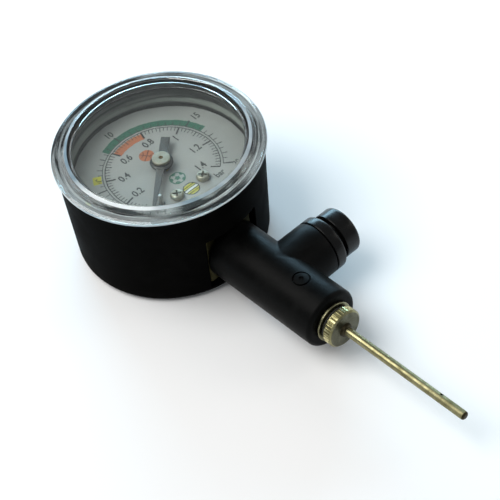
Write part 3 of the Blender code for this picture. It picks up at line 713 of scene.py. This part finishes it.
def basketball(inks):
    """A disc with two straight seams that cross, and a curved seam on either side of the first."""
    middle, r, seam_high = Vector((0.1, 5.97)), 1.9, PRINT_HIGH + OVERPRINT
    bm = bmesh.new()
    add_plate(bm, disc(*middle, r, 40), PRINT_LOW, PRINT_HIGH)
    finish(to_object("basketball_disc", bm), "root", inks["orange"])
    seams = bmesh.new()
    along = Vector((cos(radians(35)), sin(radians(35))))
    across = Vector((-along.y, along.x))

    def straight_seam(half, half_width):
        corners = (half_width - half, -half - half_width, half - half_width, half + half_width)
        add_plate(seams, [tuple(middle + corner) for corner in corners], PRINT_LOW, seam_high)

    straight_seam(along * r, across * 0.13)
    for way in (-1, 1):
        centre = middle + across * way * 2.15
        base = (middle - centre).angle_signed(Vector((1, 0)))
        angles = [base + lean for lean in spaced(-radians(50), radians(50), 14)]
        outer = [centre + Vector((cos(angle), sin(angle))) * 1.36 for angle in angles]
        inner = [centre + Vector((cos(angle), sin(angle))) * 1.16 for angle in reversed(angles)]
        add_plate(seams, [tuple(point) for point in outer + inner], PRINT_LOW, seam_high)
    straight_seam(across * r, -along * 0.13)
    finish(to_object("basketball_seams", seams), "root", inks["rust"])


def football(inks):
    """A ring, a middle star and five rim patches."""
    x, y, r = 0.0, -5.34, 1.98
    bm = bmesh.new()
    add_plate(bm, disc(x, y, r, 48), PRINT_LOW, PRINT_HIGH, [disc(x, y, r - 0.27, 48)])
    star = []
    for point in range(10):
        angle = tau * point / 10 + pi / 2
        radius = 0.86 if point % 2 == 0 else 0.52
        star.append((x + radius * cos(angle), y + radius * sin(angle)))
    add_plate(bm, star, PRINT_LOW, PRINT_HIGH)
    for patch in range(5):
        first, middle, last = (radians(90 + 72 * patch + lean) for lean in (-19, 0, 19))
        rim = r - 0.2
        spots = ((rim, first), (rim, middle), (rim, last), (1.42, last), (1.12, middle), (1.42, first))
        outline = [(x + out * cos(angle), y + out * sin(angle)) for out, angle in spots]
        add_plate(bm, outline, PRINT_LOW, PRINT_HIGH + OVERPRINT / 2)
    finish(to_object("football_print", bm), "root", inks["green"])


def volleyball(inks):
    """A ringed disc with level stripes."""
    x, y, r = -0.1, -10.4, 2.05
    ring = bmesh.new()
    add_plate(ring, disc(x, y, r, 48), PRINT_LOW, PRINT_HIGH, [disc(x, y, r - 0.2, 48)])
    for height in (0.42, 1.08, -0.42, -1.08):
        half = sqrt((r - 0.1) ** 2 - height ** 2)
        add_plate(ring, box(x, y + height, half, 0.08), PRINT_LOW, PRINT_HIGH + OVERPRINT / 2)
    finish(to_object("volleyball_outline", ring), "root", inks["black"])
    stripes = bmesh.new()
    for low, high in ((0.62, 0.98), (1.2, 1.62), (-0.98, -0.62), (-1.62, -1.2)):
        edge = r - 0.2
        left = [(x - sqrt(edge ** 2 - rise ** 2), y + rise) for rise in spaced(low, high, 4)]
        right = [(2 * x - across, up) for across, up in reversed(left)]
        add_plate(stripes, left + right, PRINT_LOW, PRINT_HIGH)
    finish(to_object("volleyball_stripes", stripes), "root", inks["yellow"])
    middle = bmesh.new()
    add_plate(middle, box(x, y, 1.8, 0.26), PRINT_LOW, PRINT_HIGH)
    finish(to_object("volleyball_middle", middle), "root", inks["white"])


def dial_print(inks):
    bar_scale(inks["black"])
    psi_scale(inks["grey"])
    colour_bands(inks)
    numerals(inks)
    basketball(inks)
    football(inks)
    volleyball(inks)


def dial_screws(material, recess_shade_material):
    """Pan heads with a tapered cross recess."""
    for side, word in ((-1, "left"), (1, "right")):
        place = Matrix.Translation((side * DIAL_SCREW_X, DIAL_SCREW_Y, DIAL_Z + 0.3))
        head = to_object(f"pan_screw_{word}", turned(rounded([
            (0, -4.5), (0.7, -4.5), (0.9, -4.2), (0.9, 0), (1.65, 0, 0.08), (1.65, 0.5, 0.3),
            (1.3, 1.0, 0.45), (0, 1.0)]), 64), place)
        cross = []
        for turn in (0, 90):
            slot = bmesh.new()
            wide, narrow, top, low, half = 1.2, 0.55, 1.3, 0.1, 0.23
            add_plate(slot, [(-wide, top), (-narrow, low), (narrow, low), (wide, top)], -half, half)
            angle = Matrix.Rotation(radians(turn + 38 * side), 4, "Z") @ Matrix.Rotation(pi / 2, 4, "X")
            cross.append(to_object(f"cut_slot_{turn}", slot, place @ angle))
        shape_with(head, cross)
        soften_edges(head, 0.03, 40, 1)
        finish(head, "root", material, f"dial_screw_{word}")
        axis = place.translation
        # Painted shade: the cross recess gets a darker copy of the screw's nickel.
        second_material(head, recess_shade_material, lambda spot: (
            0.05 < spot.z - axis.z < 0.97 and (spot.xy - axis.xy).length < 1.1))


def zero_pin(material):
    place = Matrix.Translation((*polar(PIN_R, PIN_DEGREES), DIAL_Z))
    pin = to_object("zero_pin", turned(rounded([
        (0, -1.2), (0.75, -1.2), (0.75, -0.8), (0.45, -0.8), (0.45, 2.95, 0.22), (0, 2.95)]), 32), place)
    finish(pin, "root", material, "stop_pin")


def pointer_blade(material, hub_material):
    """Tapered blade and square tail in one sheet, on a coned hub."""
    turn = Matrix.Translation((0, 0, POINTER_Z)) @ Matrix.Rotation(-radians(POINTER_ZERO), 4, "Z")
    bm = bmesh.new()
    add_plate(bm, rounded([
        (-1.1, -8.2, 0.12), (1.1, -8.2, 0.12), (1.1, -1.8), (1.9, 0, 0.4), (0.95, 2.6, 0.6),
        (0.62, 9.5), (0.4, 14.4, 0.1), (-0.4, 14.4, 0.1), (-0.62, 9.5), (-0.95, 2.6, 0.6),
        (-1.9, 0, 0.4), (-1.1, -1.8)]), 0, 0.4)
    blade = to_object("pointer_blade", bm, turn)
    hub = to_object("pointer_hub", turned(rounded([
        (0, -0.9), (1.9, -0.9, 0.1), (1.9, -0.45, 0.15), (2.8, -0.1, 0.1), (2.8, 0.4, 0.12),
        (2.3, 0.7, 0.1), (0, 0.7)]), 96), turn)
    shape_with(blade, [hub], "UNION")
    bore = to_object("cut_bore", turned([(0, -3), (0.9, -3), (0.9, 3), (0, 3)], 32), turn)
    shape_with(blade, [bore])
    soften_edges(blade, 0.05, 45)
    finish(blade, "pointer", material, "pointer")
    second_material(blade, hub_material, lambda spot: spot.xy.length < 2.85)


def hub_cap(material, dimple_material):
    """A pressed cap with a dimple in its middle."""
    base = POINTER_Z + 1.0
    cap = to_object("hub_cap", turned(rounded([
        (0.85, 0), (2.2, 0, 0.06), (2.2, 0.7, 0.18), (0.6, 0.7, 0.1), (0.36, 0.42, 0.05), (0, 0.4),
        (0, 0.3), (0.85, 0.3)]), 96), Matrix.Translation((0, 0, base)))
    finish(cap, "pointer", material, "pointer_cap")
    # The dimple gets a darker, browner brass.
    second_material(cap, dimple_material, lambda spot: spot.z > base + 0.35 and spot.xy.length < 0.5)


# ---------------------------------------------------------------- barrel, valve and needle

def lerp(first, second, share):
    return tuple(a + (b - a) * share for a, b in zip(first, second))


def tee_surface():
    """The barrel with its boss blended out of its side, in STEM's frame: x across, y up, z along.

    The side facing the boss is a patch whose rows close in from the patch's border to the boss.
    """
    half_steps, along_steps, patch_rows, fillet_rows = 56, 40, 8, 6
    middle = -BOSS_Y
    reach = BOSS_R + 1.6
    bm = bmesh.new()

    def on_side(height, angle, radius=BARREL_R):
        return radius * cos(angle), radius * sin(angle), height

    def ring(radius, height):
        angles = [pi * step / half_steps - pi / 2 for step in range(2 * half_steps)]
        return [bm.verts.new(on_side(height, angle, radius)) for angle in angles]

    def strip(first, second, closed=True):
        pairs = list(zip(first, second))
        for (a, b), (c, d) in zip(pairs, pairs[1:] + pairs[:1] if closed else pairs[1:]):
            bm.faces.new((a, b, d, c))

    def stack(profile):
        rings = [ring(radius, height) for radius, height in profile]
        for first, second in zip(rings, rings[1:]):
            strip(first, second)
        return rings

    root = rounded([(0, BARREL_START), (BARREL_R, BARREL_START, 0.25), (BARREL_R, middle - reach)])[1:]
    nose = rounded([(0, BARREL_END), (BARREL_R, BARREL_END, 1.15), (BARREL_R, middle + reach)], 8)[1:]
    low_rings, high_rings = stack(root), stack(nose)
    bm.faces.new(low_rings[0])
    bm.faces.new(high_rings[0])
    low, high = low_rings[-1], high_rings[-1]

    columns = [low[half_steps:] + [low[0]]]
    for step in range(1, along_steps):
        height = middle - reach + 2 * reach * step / along_steps
        angles = [pi / 2 + pi * turn / half_steps for turn in range(half_steps + 1)]
        columns.append([bm.verts.new(on_side(height, angle)) for angle in angles])
    columns.append(high[half_steps:] + [high[0]])
    for first, second in zip(columns, columns[1:]):
        strip(first, second, closed=False)

    border = low[:half_steps + 1] + [column[0] for column in columns[1:]]
    border += high[:half_steps][::-1] + [column[-1] for column in columns[1:-1]][::-1]
    flat = []
    for vert in border:
        angle = atan2(vert.co.y, vert.co.x)
        flat.append((vert.co.z, angle))
    turns = [atan2(angle / (pi / 2), (height - middle) / reach) for height, angle in flat]
    wide = BOSS_R + FILLET
    hole = [(middle + wide * cos(turn), asin(wide * sin(turn) / BARREL_R)) for turn in turns]
    rows = [border]
    for row in range(1, patch_rows + 1):
        spots = [lerp(outer, inner, row / patch_rows) for outer, inner in zip(flat, hole)]
        rows.append([bm.verts.new(on_side(*spot)) for spot in spots])
    for row in range(1, fillet_rows + 1):
        share = row / fillet_rows
        verts = []
        for turn, start in zip(turns, hole):
            across, up = BOSS_R * cos(turn) + middle, BOSS_R * sin(turn)
            foot = sqrt(BARREL_R ** 2 - up ** 2)
            corner, end = (foot, up, across), (foot + FILLET, up, across)
            bent = lerp(lerp(on_side(*start), corner, share), lerp(corner, end, share), share)
            verts.append(bm.verts.new(bent))
        rows.append(verts)
    for radius, out in ((BOSS_R, 8.4), (BOSS_R, 10.5), (BOSS_R, BOSS_END - 0.2),
                        (BOSS_R - 0.06, BOSS_END - 0.06), (BOSS_R - 0.2, BOSS_END)):
        spots = [(out, radius * sin(turn), middle + radius * cos(turn)) for turn in turns]
        rows.append([bm.verts.new(spot) for spot in spots])
    for first, second in zip(rows, rows[1:]):
        strip(first, second)
    bm.faces.new(rows[-1])
    return bm


def barrel_tee(material):
    """The T-shaped barrel with its bores, and a plain ring and dot moulded on top."""
    body = to_object("barrel_tee", tee_surface(), STEM, sharp=30)
    bores = [to_object("cut_long_bore", turned([
        (0, BARREL_START - 1), (5.15, BARREL_START - 1), (5.15, 35.2), (1.6, 35.2), (1.6, 47.0),
        (4.6, 47.0), (4.6, BARREL_END + 1), (0, BARREL_END + 1)], 64), STEM)]
    bores.append(to_object("cut_side_bore", turned([
        (0, 0.1), (1.4, 0.1), (1.4, 5.6), (3.4, 5.6), (3.4, 9.1), (4.9, 9.1), (4.9, BOSS_END + 1),
        (0, BOSS_END + 1)], 64), BOSS))
    ring = turned([(1.75, 0), (2.15, 0), (2.15, 3), (1.75, 3)], 96)
    mark_y, top = -46.5, STEM_Z + BARREL_R - 0.5
    bores.append(to_object("cut_moulding_ring", ring, Matrix.Translation((0, mark_y, top))))
    dot = turned([(0, 0), (0.6, 0), (0.6, 3), (0, 3)], 32)
    bores.append(to_object("cut_moulding_dot", dot, Matrix.Translation((0, mark_y, top + 0.25))))
    shape_with(body, bores)
    finish(body, "root", material, "barrel")


def collar(material):
    ring = to_object("collar_ring", turned(rounded([
        (1.8, 9.4), (4.6, 9.4, 0.15), (4.6, 13.4), (BOSS_R, 13.4, 0.25), (BOSS_R, 16.3, 0.8),
        (4.6, 16.3, 0.1), (4.6, 14.6), (1.8, 14.6)]), 120), BOSS)
    finish(ring, "root", material, "release_collar")


def push_button(material):
    button = to_object("push_button", turned(rounded([
        (0, 6.9), (1.4, 6.9, 0.1), (1.4, 7.6), (0.8, 7.6), (0.8, 9.7), (1.4, 9.7), (1.4, 19.5),
        (3.4, 19.5), (3.4, 15.9), (4.5, 15.9, 0.1), (4.5, 17.5, 0.15), (5.9, 17.5, 0.25),
        (5.9, 21.8, 0.95), (0, 21.8)], 7), 120), BOSS)
    finish(button, "button", material, "release_button")


def nose_ring(material):
    ring = to_object("nose_ring", turned(rounded([
        (1.4, 47.3), (4.3, 47.3), (4.3, 55.9), (5.05, 55.9), (5.05, INSERT_END, 0.16),
        (3.5, INSERT_END, 0.1), (3.5, 49.6), (1.4, 49.6)]), 96), STEM)
    finish(ring, "root", material, "nose_insert")


def rubber_ring(material):
    ring = to_object("rubber_ring", turned(rounded([
        (3.6, 56.7, 0.1), (4.35, 56.7, 0.16), (4.35, 57.1, 0.16), (3.6, 57.1, 0.1)]), 96), STEM)
    finish(ring, "washer", material, "needle_washer")


def ball_needle(material, face_shade_material, root_tip_shade_material):
    """Spigot, knurled head and long hollow tube in one, with an air hole near its tip."""
    teeth, depth, bore = 34, 0.3, 0.45

    def knurl(angle, radius, height):
        if not HEAD_START + 0.2 < height < HEAD_END - 0.35 or radius < HEAD_R - 0.3:
            return 0.0
        return depth * max(0.0, cos(teeth * angle)) ** 0.5

    spike = to_object("ball_needle", turned(rounded([
        (bore, 50.1), (3.0, 50.1), (3.42, 50.5), (3.42, HEAD_START), (HEAD_R - 0.25, HEAD_START),
        (HEAD_R, HEAD_START + 0.22), (HEAD_R, HEAD_START + 0.3), (HEAD_R, HEAD_END - 0.6),
        (HEAD_R, HEAD_END - 0.5), (HEAD_R - 0.03, HEAD_END - 0.34), (HEAD_R - 0.45, HEAD_END, 0.12),
        (1.75, HEAD_END, 0.12), (1.6, HEAD_END + 0.7, 0.12), (NEEDLE_R, HEAD_END + 0.9, 0.1),
        (NEEDLE_R, NEEDLE_TIP, 0.6), (0, NEEDLE_TIP), (0, SIDE_HOLE + 0.5), (bore, SIDE_HOLE + 0.5)]),
        teeth * 8, knurl), STEM, sharp=50)
    hole = to_object("cut_air_hole", turned([(0, 0.2), (0.42, 0.2), (0.42, 2), (0, 2)], 32),
                     Matrix.Translation((0, -SIDE_HOLE, STEM_Z)) @ Matrix.Rotation(HOLE_LEAN, 4, "Y"))
    shape_with(spike, [hole])
    finish(spike, "needle", material, "needle")
    # Painted shade: the head's face gets a darker copy of the needle's nickel.
    second_material(spike, face_shade_material, lambda spot: abs(spot.y + HEAD_END) < 0.15)

    # Painted shade: a dark brownish metal on the needle's root at the head's face, on its rounded tip and
    # inside the air hole.
    def in_painted_shade(spot):
        root = HEAD_END + 0.02 < -spot.y < HEAD_END + 0.95
        tip = -spot.y > NEEDLE_TIP - 0.5
        inside_hole = -spot.y > SIDE_HOLE - 0.6 and hypot(spot.x, spot.z - STEM_Z) < NEEDLE_R - 0.08
        return root or tip or inside_hole

    second_material(spike, root_tip_shade_material, in_painted_shade)


def return_spring(material):
    """A coiled wire spring about the button's axis."""
    turns, radius, wire, start, end = 5, 2.4, 0.26, 14.95, 19.2
    points = []
    steps = turns * 32
    for step, height in enumerate(spaced(start, end, steps)):
        angle = tau * turns * step / steps
        points.append(BOSS @ Vector((radius * cos(angle), radius * sin(angle), height)))
    curve = bpy.data.curves.new("return_spring", "CURVE")
    curve.dimensions = "3D"
    curve.bevel_depth = wire * MM
    curve.bevel_resolution = 3
    curve.use_fill_caps = True
    line = curve.splines.new("POLY")
    line.points.add(len(points) - 1)
    for spot, point in zip(line.points, points):
        spot.co = (*(point * MM), 1)
    drawn = bpy.data.objects.new("drawn_spring", curve)
    bpy.context.scene.collection.objects.link(drawn)
    graph = bpy.context.evaluated_depsgraph_get()
    mesh = bpy.data.meshes.new_from_object(drawn.evaluated_get(graph), depsgraph=graph)
    bpy.data.objects.remove(drawn, do_unlink=True)
    coil = bpy.data.objects.new("return_spring", mesh)
    mesh.shade_smooth()
    bpy.context.scene.collection.objects.link(coil)
    finish(coil, "root", material, "release_spring")
    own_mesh(coil)


# ---------------------------------------------------------------- everything together

def dress_inner_nodes(finishes):
    """Gives each CAD node that stays in view its own material."""
    slots = {entry["node"]: entry["material_slot"] for entry in frame["record"]["subparts"]}
    for name, node in frame["nodes"].items():
        material = finishes.get(name) or finishes.get(slots[name])
        if material:
            node.data.materials.clear()
            node.data.materials.append(material)


def main():
    camera()
    lights()
    floor()
    case_black = moulded_plastic("case_plastic", (0.0012, 0.0012, 0.0011), 0.55, 0.012, 0.01)
    barrel_black = moulded_plastic("barrel_plastic", (0.0016, 0.0017, 0.0016), 0.4, 0.016, 0.055)
    button_black = moulded_plastic("button_plastic", (0.0015, 0.0016, 0.0015), 0.25, 0.012, 0.22)
    brass = metal("turned_brass", (0.62, 0.49, 0.25), (0.42, 0.32, 0.15), 0.32)
    cap_brass = metal("pale_brass", (0.46, 0.42, 0.345), (0.36, 0.32, 0.24), 0.34, pitch=0.12)
    along_stem = {"axis": "Y", "centre": (0, 0, STEM_Z)}
    nickel = metal("warm_nickel", (0.28, 0.265, 0.165), (0.17, 0.16, 0.09), 0.26, **along_stem)
    screw_nickel = metal("screw_nickel", (0.5, 0.48, 0.4), (0.34, 0.32, 0.25), 0.3)
    steel = metal("small_steel", (0.56, 0.56, 0.54), (0.42, 0.42, 0.4), 0.3)
    tube_bronze = metal("tube_bronze", (0.58, 0.4, 0.22), (0.4, 0.25, 0.13), 0.36)
    black_rubber = rubber()
    inks = {
        "black": ink("ink_black", (0.012, 0.013, 0.013)),
        "grey": ink("ink_grey", (0.03, 0.033, 0.032)),
        "green": ink("ink_green", (0.025, 0.1, 0.066)),
        "orange": ink("ink_orange", (0.31, 0.1, 0.045)),
        "rust": ink("ink_rust", (0.11, 0.036, 0.02)),
        "yellow": ink("ink_yellow", (0.36, 0.33, 0.035)),
        "white": ink("ink_white", (0.5, 0.51, 0.5)),
    }
    case_shell(case_black, inner_wall_painted_reflection())
    clear_lens(clear_plastic(), rim_painted_reflections(), edge_painted_highlight())
    dial_face(dial_paint())
    dial_print(inks)
    dial_screws(screw_nickel, metal("recess_painted_shade", (0.24, 0.225, 0.18), (0.12, 0.112, 0.086), 0.5))
    zero_pin(steel)
    pointer_blade(enamel("pointer_enamel", (0.05, 0.05, 0.049)),
                  enamel("hub_enamel", (0.016, 0.016, 0.015)))
    hub_cap(cap_brass, metal("darker_dimple_brass", (0.16, 0.1, 0.045), (0.07, 0.04, 0.02), 0.5))
    barrel_tee(barrel_black)
    collar(button_black)
    push_button(button_black)
    nose_ring(nickel)
    rubber_ring(black_rubber)
    ball_needle(
        metal("needle_nickel", (0.29, 0.27, 0.15), (0.15, 0.135, 0.06), 0.26,
              dulled=(-94, -72), **along_stem),
        metal("needle_face_painted_shade", (0.125, 0.12, 0.08), (0.07, 0.067, 0.042), 0.3, **along_stem),
        metal("painted_shade_metal", (0.05, 0.042, 0.024), (0.022, 0.019, 0.011), 0.42, **along_stem))
    return_spring(steel)
    # Painted shade: the socket block, seen through the case's opening, gets a brass darkened to the shade
    # it sits in.
    block_shade_brass = metal("painted_shade_brass", (0.085, 0.078, 0.035), (0.05, 0.045, 0.02), 0.45)
    dress_inner_nodes({
        "brass_turned": brass, "bronze_tube": tube_bronze, "steel_small": steel,
        "black_rubber": black_rubber, "nickel_plate": nickel, "socket_block": block_shade_brass})


main()
